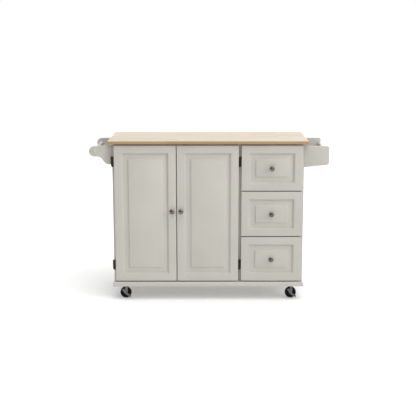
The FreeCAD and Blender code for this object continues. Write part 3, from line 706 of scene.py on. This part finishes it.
def makeKnob(name, node, grip):
    look = knobShape
    low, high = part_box(node)
    proud = look["profile"][-1][0] * mm
    foot = Vector(((low[0] + high[0]) / 2, low[1] + proud, (low[2] + high[2]) / 2))
    inside = foot + Vector((0, grip * mm, 0))
    shank = ((-look["shankInKnob"], look["shank"]), (grip, look["shank"]))
    return joined(name, [
        addTurned(name, foot, (0, -1, 0), look["profile"], look["sides"]),
        addTurned(name + "Head", inside, (0, 1, 0), look["screwHead"], look["headSides"]),
        addTurned(name + "Shank", foot, (0, 1, 0), shank, look["shankSides"])])


def makeKnobs():
    left = makeKnob("leftDoorKnob", "left_door_knob", knobShape["doorGrip"])
    dressTwins(left, "rightDoorKnob", ("left_door", "right_door"),
               ("left_door_knob", "right_door_knob"))
    top = makeKnob("topDrawerKnob", "top_drawer_knob", knobShape["drawerGrip"])
    dressDrawers(top, "Knob", "knob")


# in mm; leaf and strap edges are from the pin towards the door's middle
hingeShape = {
    "tall": 54, "third": 18, "gap": 0.4, "steel": 1.5,
    "knuckle": 5, "knuckleEase": 0.5, "knuckleLip": 0.4, "sides": 32,
    "frameLeaf": (-11, 3), "doorLeaf": (5.5, 7), "doorLeafDeep": 16, "leafArris": 0.3,
    "webFrom": 2.5, "webShort": 0.2, "webArris": 0.2, "strap": (0, 6.5), "cap": 3.5,
    "pin": ((-2, 1.4), (-1.7, 2.6), (-1, 3.4), (-0.2, 3.5), (0, 2), (54, 2), (54.2, 3.5),
            (55, 3.4), (55.7, 2.6), (56, 1.4)),
}


def makeKnuckle(name, x, y, z, tall):
    look = hingeShape
    wide, lip = look["knuckle"], look["knuckleLip"]
    slim = wide - look["knuckleEase"]
    steps = ((0, slim), (lip, wide), (tall - lip, wide), (tall, slim))
    return addTurned(name, (x, y, z), (0, 0, 1), steps, look["sides"])


def makeHinge(side, x, y, z, towards):
    # a door's lower hinge: its cabinet leaf, its door leaf and its pin
    look = hingeShape
    third, top = look["third"] * mm, z + look["tall"] * mm
    steel, half = look["steel"] * mm, look["steel"] / 2 * mm
    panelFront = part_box("left_side_panel")[0][1]
    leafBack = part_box(f"{side}_door_hinge_leaves")[1][1]
    frameLeaf, doorLeaf, strap = (sorted(x + towards * edge * mm for edge in look[part])
                                  for part in ("frameLeaf", "doorLeaf", "strap"))
    onFrame = []
    for end, foot in (("Lower", z), ("Upper", z + 2 * third)):
        onFrame.append(makeKnuckle(f"{side}Knuckle{end}", x, y, foot, look["third"]))
        web = addBlock(f"{side}Web{end}", (x - half, y + look["webFrom"] * mm, foot),
                       (x + half, panelFront - look["webShort"] * mm, foot + third))
        onFrame.append(ease(web, look["webArris"] * mm))
    leaf = addBlock(side + "Leaf", (frameLeaf[0], panelFront - steel, z),
                    (frameLeaf[1], panelFront, top))
    onFrame.append(ease(leaf, look["leafArris"] * mm))
    # the door's knuckle turns with a little play between the other two
    middle = z + third + look["gap"] * mm
    tall = look["third"] - 2 * look["gap"]
    knuckle = makeKnuckle(side + "KnuckleMiddle", x, y, middle, tall)
    leaf = addBlock(side + "DoorLeaf", (doorLeaf[0], leafBack - look["doorLeafDeep"] * mm, z),
                    (doorLeaf[1], leafBack, top))
    ease(leaf, look["leafArris"] * mm)
    bar = addBlock(side + "Strap", (strap[0], y - half, middle),
                   (strap[1], y + half, middle + tall * mm))
    pin = addTurned(side + "Pin", (x, y, z), (0, 0, 1), look["pin"], look["sides"])
    return joined(side + "FrameHalf", onFrame), joined(side + "DoorHalf", [knuckle, leaf, bar]), pin


def makeHinges():
    pinLow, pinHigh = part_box("hinge_pins")
    leafLow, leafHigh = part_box("left_door_hinge_leaves")
    y = (pinLow[1] + pinHigh[1]) / 2
    cap = hingeShape["cap"] * mm
    rise = (0, 0, leafHigh[2] - leafLow[2] - hingeShape["tall"] * mm)
    frameLeaves, pins = [], []
    for side, x, towards in (("left", pinLow[0] + cap, 1), ("right", pinHigh[0] - cap, -1)):
        onFrame, onDoor, pin = makeHinge(side, x, y, leafLow[2], towards)
        frameLeaves += [onFrame, copied(onFrame, side + "FrameHalfAbove", rise)]
        pins += [pin, copied(pin, side + "PinAbove", rise)]
        doorLeaves = [onDoor, copied(onDoor, side + "DoorHalfAbove", rise)]
        dress(joined(f"{side}DoorLeaves", doorLeaves), f"{side}_door",
              f"{side}_door_hinge_leaves")
    dress(joined("frameLeaves", frameLeaves), "cart", "hinge_frame_leaves")
    dress(joined("hingePins", pins), "cart", "hinge_pins")


trayShape = {"wall": 12 * mm, "arris": 1 * mm, "arrisSteps": 3, "sheetArris": 0.4 * mm}


def makeTray():
    look = trayShape
    wall = look["wall"]
    low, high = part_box("top_drawer_box")
    sheetLow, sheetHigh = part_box("top_drawer_bottom")
    name, boards = "topDrawerTray", []
    for side, x in (("Left", low[0]), ("Right", high[0] - wall)):
        board = addBlock(name + side, (x, low[1], low[2]), (x + wall, high[1], high[2]))
        boards.append(ease(board, look["arris"], look["arrisSteps"]))
    for end, y in (("Front", low[1]), ("Back", high[1] - wall)):
        board = addBlock(name + end, (low[0] + wall, y, low[2]),
                         (high[0] - wall, y + wall, high[2]))
        ease(board, look["arris"], look["arrisSteps"])
        boards.append(markFaces(board, "across", lambda face: True))
    sheet = addBlock(name + "Sheet", (low[0] + wall, low[1] + wall, sheetLow[2]),
                     (high[0] - wall, high[1] - wall, sheetHigh[2]))
    boards.append(ease(sheet, look["sheetArris"]))
    return joined(name, boards)


channelShape = {
    "steel": 1.5 * mm, "outerRound": 2.2 * mm, "innerRound": 0.8 * mm, "wornUnder": 2e-4,
    "runnerWide": 9 * mm, "runnerTall": 36 * mm,
}


def addChannel(name, low, high, opens):
    # a rolled steel channel that runs front to back, open to the left (-1) or the right (1)
    look = channelShape
    steel = look["steel"]
    lip, web = (low[0], high[0]) if opens < 0 else (high[0], low[0])
    inner = web + opens * steel
    corners = [(lip, low[2]), (web, low[2]), (web, high[2]), (lip, high[2]),
               (lip, high[2] - steel), (inner, high[2] - steel), (inner, low[2] + steel),
               (lip, low[2] + steel)]
    rounds = [(i, look["outerRound"]) for i in (1, 2)] + [(i, look["innerRound"]) for i in (5, 6)]
    channel = addCutout(name, corners, rounds, low[1], high[1])
    return markFaces(channel, "edge", lambda face: face.area < look["wornUnder"])


def makeSlides():
    low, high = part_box("top_drawer_slides")
    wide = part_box("top_drawer_box")[0][0] - low[0]
    left = addChannel("topSlideLeft", low, (low[0] + wide, high[1], high[2]), -1)
    right = addChannel("topSlideRight", (high[0] - wide, low[1], low[2]), high, 1)
    return joined("topDrawerSlides", [left, right])


def makeRunners():
    # three pairs, level with the slides that they carry
    low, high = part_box("cabinet_runners")
    wide, tall = channelShape["runnerWide"], channelShape["runnerTall"]
    left = addChannel("leftRunner", low, (low[0] + wide, high[1], low[2] + tall), 1)
    right = addChannel("rightRunner", (high[0] - wide, low[1], low[2]),
                       (high[0], high[1], low[2] + tall), -1)
    lowest = joined("bottomRunners", [left, right])
    pairs = [lowest]
    for level in ("middle", "top"):
        rise = apart("bottom_drawer_slides", f"{level}_drawer_slides")
        pairs.append(copied(lowest, level + "Runners", rise))
    dress(joined("cabinetRunners", pairs), "cart", "cabinet_runners")


def makeDrawerInsides():
    dressDrawers(makeTray(), "Tray", "box", "bottom")
    dressDrawers(makeSlides(), "Slides", "slides")


# how far the outline's points stand from the bracket's foot and from the cabinet
bracketShape = {
    "noseFoot": 44 * mm, "waist": 67 * mm, "heel": 35 * mm, "noseRound": 29.8 * mm,
    "waistRound": 15 * mm, "heelRound": 13 * mm,
    "arris": 3.2 * mm, "arrisSteps": 3, "arrisAngle": 50,
}


def makeBrackets():
    look = bracketShape
    low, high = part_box("towel_bracket_front")
    foot = low[2] + look["noseFoot"]
    corners = [(high[0], low[2]), (high[0], high[2]), (low[0], high[2]), (low[0], foot),
               (high[0] - look["waist"], foot), (high[0] - look["heel"], low[2])]
    rounds = [(2, look["noseRound"]), (3, look["noseRound"]), (4, look["waistRound"]),
              (5, look["heelRound"])]
    board = addCutout("frontTowelBracket", corners, rounds, low[1], high[1])
    ease(board, look["arris"], look["arrisSteps"], look["arrisAngle"])
    dressTwins(board, "rearTowelBracket", ("cart", "cart"),
               ("towel_bracket_front", "towel_bracket_rear"))


# the bar's end, in mm: distance from the end and how much thinner it is there
barShape = {"end": ((0, 3.2), (0.4, 1.8), (1.3, 0.6), (2.6, 0)), "sides": 64}


def makeTowelBar():
    low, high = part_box("towel_bar")
    radius, long = (high[0] - low[0]) / 2 / mm, (high[1] - low[1]) / mm
    foot = ((low[0] + high[0]) / 2, low[1], (low[2] + high[2]) / 2)
    end = [(far, radius - less) for far, less in barShape["end"]]
    steps = end + [(long - far, wide) for far, wide in reversed(end)]
    dress(addTurned("towelBar", foot, (0, 1, 0), steps, barShape["sides"]), "cart", "towel_bar")


rackShape = {
    "rise": 14 * mm, "cornerRound": 12.5 * mm, "arris": 3.2 * mm, "arrisSteps": 3,
    "arrisAngle": 50,
}


def makeRackEnds():
    look = rackShape
    low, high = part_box("rack_end_front")
    corners = [(low[0], low[2]), (high[0], low[2] + look["rise"]), (high[0], high[2]),
               (low[0], high[2])]
    rounds = [(1, look["cornerRound"]), (2, look["cornerRound"])]
    board = addCutout("frontRackEnd", corners, rounds, low[1], high[1])
    ease(board, look["arris"], look["arrisSteps"], look["arrisAngle"])
    dressTwins(board, "rearRackEnd", ("cart", "cart"), ("rack_end_front", "rack_end_rear"))


wheelShape = {
    "profile": ((-11, 6.6), (-11, 8.6), (-10.8, 9), (-8.2, 9), (-8, 9.4), (-8, 19.4), (-8.2, 20),
                (-10.6, 20), (-11, 20.6), (-11, 27), (-10.7, 28.6), (-9.8, 30.2), (-8.4, 31.4),
                (-6.4, 32), (-1.3, 32), (-1, 31.3), (1, 31.3), (1.3, 32), (6.4, 32), (8.4, 31.4),
                (9.8, 30.2), (10.7, 28.6), (11, 27), (11, 20.6), (10.6, 20), (8.2, 20), (8, 19.4),
                (8, 9.4), (8.2, 9), (10.8, 9), (11, 8.6), (11, 6.6)),
    "sides": 72, "smooth": 25,
}


def wheelCentre(place="front_left"):
    low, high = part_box(place + "_wheel")
    return (Vector(low) + Vector(high)) / 2


def dressCasters(piece, kind, body, node, smooth=35):
    # the front left caster's piece, and its copies on the other three
    for end, side in (("front", "right"), ("rear", "left"), ("rear", "right")):
        place = f"{end}_{side}"
        twin = copied(piece, f"{end}{side.title()}{kind}", wheelCentre(place) - wheelCentre())
        dress(twin, f"{place}_{body}", f"{place}_{node}", smooth=smooth)
    dress(piece, f"front_left_{body}", f"front_left_{node}", smooth=smooth)


def makeWheels():
    look = wheelShape
    wheel = addTurned("frontLeftWheel", wheelCentre(), (0, 1, 0), look["profile"], look["sides"])
    dressCasters(wheel, "Wheel", "wheel", "wheel", look["smooth"])


# the leg's corners are from the wheel's centre, and they and the race are in mm
forkShape = {
    "leg": ((-8.5, -8.5), (8.5, -8.5), (13, 40.8), (-3, 40.8)), "legEnd": 8.2 * mm,
    "legArris": 0.5 * mm, "legArrisSteps": 2, "legArrisAngle": 50,
    "half": 15 * mm, "steel": 2.5 * mm, "trail": 14 * mm,
    "crownHalf": 16 * mm, "crownInset": 0.1 * mm, "crownThick": 3 * mm, "crownTop": 40.8 * mm,
    "crownArris": 0.6 * mm,
    "race": ((0, 14.5), (0.5, 16.6), (1.8, 17.7), (3.2, 18), (3.5, 17.1), (4.7, 17.1), (5, 18),
             (6.6, 18), (7.8, 17.2), (8.4, 15.4)),
    "raceSides": 64,
}


def makeForks():
    look = forkShape
    x, y, z = wheelCentre()
    half, steel = look["half"], look["steel"]
    corners = [(x + across * mm, z + up * mm) for across, up in look["leg"]]
    rounds = [(i, look["legEnd"]) for i in (0, 1)]
    leg = addCutout("forkLeg", corners, rounds, y - half, y - half + steel)
    ease(leg, look["legArris"], look["legArrisSteps"], look["legArrisAngle"])
    farLeg = copied(leg, "forkFarLeg", (0, 2 * half - steel, 0))
    middle, top = x + look["trail"], z + look["crownTop"]
    wide, deep = look["crownHalf"], half - look["crownInset"]
    crown = addBlock("forkCrown", (middle - wide, y - deep, top - look["crownThick"]),
                     (middle + wide, y + deep, top))
    ease(crown, look["crownArris"])
    race = addTurned("forkRace", (middle, y, top), (0, 0, 1), look["race"], look["raceSides"])
    fork = joined("frontLeftFork", [leg, farLeg, crown, race])
    dressCasters(fork, "Fork", "caster", "caster_fork")


# the plate's corners are from the wheel's centre, in mm, and the pedal stands off the plate
leverShape = {
    "corners": ((-21, 20), (-14, 25), (-5, 17), (2, 6.5), (12, -4.5), (25, -12), (32, -17),
                (29, -23), (20, -20.5), (7, -14), (-5, -4.5)),
    "rounded": (0, 1, 6, 7), "cornerRound": 2.4 * mm, "thick": 2.5 * mm,
    "arris": 0.5 * mm, "arrisSteps": 2, "arrisAngle": 50,
    "pedalFrom": 9 * mm, "pedalTo": 1 * mm, "pedalFoot": 1 * mm, "pedalTop": 4.5 * mm,
    "pedalArris": 1 * mm, "pedalArrisSteps": 3,
}


def makeLevers():
    look = leverShape
    low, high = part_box("front_left_brake_lever")
    middle = wheelCentre()
    plateFront = high[1] - look["thick"]
    corners = [(middle.x + x * mm, middle.z + z * mm) for x, z in look["corners"]]
    rounds = [(i, look["cornerRound"]) for i in look["rounded"]]
    plate = addCutout("leftBrakePlate", corners, rounds, plateFront, high[1])
    ease(plate, look["arris"], look["arrisSteps"], look["arrisAngle"])
    pedal = addBlock("leftBrakePedal", (high[0] - look["pedalFrom"], low[1], low[2] + look["pedalFoot"]),
                     (high[0] - look["pedalTo"], plateFront, low[2] + look["pedalTop"]))
    ease(pedal, look["pedalArris"], look["pedalArrisSteps"])
    dressTwins(joined("leftBrakeLever", [plate, pedal]), "rightBrakeLever",
               ("front_left_brake", "front_right_brake"),
               ("front_left_brake_lever", "front_right_brake_lever"))


makeWorktop()
makeBase()
makeBoards()
print("worktop and cabinet made")
makeFronts()
makeKnobs()
makeHinges()
print("doors, drawer fronts, knobs and hinges made")
makeDrawerInsides()
makeRunners()
print("drawer trays and runners made")
makeBrackets()
makeTowelBar()
makeRackEnds()
print("towel rail and spice rack made")
makeWheels()
makeForks()
makeLevers()
print("casters made")

floorLook = {
    "size": 60, "drop": 0.5 * mm, "tone": (0.75, 0.75, 0.75), "pale": (0.765, 0.765, 0.765),
    "grain": (3, 4, 0.5), "grainBand": (0.3, 0.7), "grainRough": 0.1, "roughness": 0.8,
    "glow": 0.2, "specular": 0.2,
}


def makeFloor():
    look = floorLook
    onlyThis()
    bpy.ops.mesh.primitive_plane_add(size=look["size"], location=(0, 0, -look["drop"]))
    floor = bpy.context.object
    floor.name = "studioFloor"
    coat = Finish("studioFloorPaint", {
        "Specular IOR Level": look["specular"], "Emission Color": (1, 1, 1, 1),
        "Emission Strength": look["glow"]})
    grain = coat.noise(*look["grain"])
    colour = coat.blend(coat.ramp(grain, *look["grainBand"]), look["tone"], look["pale"])
    floor.data.materials.append(coat.done(colour, look["roughness"] + swing(grain, look["grainRough"])))


skyLook = {"colour": (1, 1, 1, 1), "strength": 1.0}


def makeSky():
    world = bpy.data.worlds.new("studioSky")
    bpy.context.scene.world = world
    world.use_nodes = True
    sky = world.node_tree.nodes["Background"]
    sky.inputs["Color"].default_value = skyLook["colour"]
    sky.inputs["Strength"].default_value = skyLook["strength"]


# black boards that the camera does not see, which give the fronts their soft shade
# each has its place, its turn in degrees and its size
flags = {
    "leftFlag": ((-3.4, -2.6, 2.5), (0, 90), (3.6, 6.4)),
    "rightFlag": ((5.0, -2.6, 1.6), (0, 90), (1.2, 4.0)),
    "frontLeftFlag": ((-2.2, -6.6, 2.6), (90, 0), (4.6, 3.8)),
    "frontRightFlag": ((3.2, -6.6, 1.7), (90, 0), (2.0, 2.2)),
}
flagLook = {
    "black": (0.02, 0.02, 0.02), "rubbed": (0.03, 0.03, 0.03), "weave": (200, 2, 0.5),
    "specular": 0.1, "roughness": 0.9,
}


def makeFlags():
    look = flagLook
    cloth = Finish("flagCloth", {"Specular IOR Level": look["specular"]})
    weave = cloth.noise(*look["weave"])
    black = cloth.done(cloth.blend(weave, look["black"], look["rubbed"]), look["roughness"], weave)
    for name, (place, turn, size) in flags.items():
        onlyThis()
        bpy.ops.mesh.primitive_plane_add(
            size=1, location=place, rotation=(math.radians(turn[0]), math.radians(turn[1]), 0))
        board = bpy.context.object
        board.name = name
        board.scale = (*size, 1)
        board.visible_camera = False
        board.data.materials.append(black)


# where each shines from, its strength, and its softness in degrees
suns = {
    "topSun": ((0.4, -0.7, 2.1), 1.2, 34),
    "sideSun": ((1.7, -0.85, 0.8), 1.15, 20),
}


def makeSuns():
    for name, (start, strength, softness) in suns.items():
        lamp = bpy.data.lights.new(name, "SUN")
        lamp.energy = strength
        lamp.angle = math.radians(softness)
        sun = bpy.data.objects.new(name, lamp)
        bpy.context.scene.collection.objects.link(sun)
        sun.rotation_euler = (-Vector(start)).to_track_quat("-Z", "Y").to_euler()


# angles in degrees, lens and sensor in mm
cameraSet = {"place": (-0.012, -5.134, 1.535), "lens": 77.15, "sensor": 36, "down": 11.42,
             "yaw": -0.066}


def makeCamera():
    look = cameraSet
    lens = bpy.data.cameras.new("studioCamera")
    lens.lens = look["lens"]
    lens.sensor_width = look["sensor"]
    camera = bpy.data.objects.new("studioCamera", lens)
    bpy.context.scene.collection.objects.link(camera)
    camera.location = look["place"]
    camera.rotation_euler = (math.radians(90 - look["down"]), 0, math.radians(look["yaw"]))
    bpy.context.scene.camera = camera


makeFloor()
makeSky()
makeFlags()
makeSuns()
makeCamera()
bpy.context.scene.view_settings.view_transform = "Standard"
print("studio set")
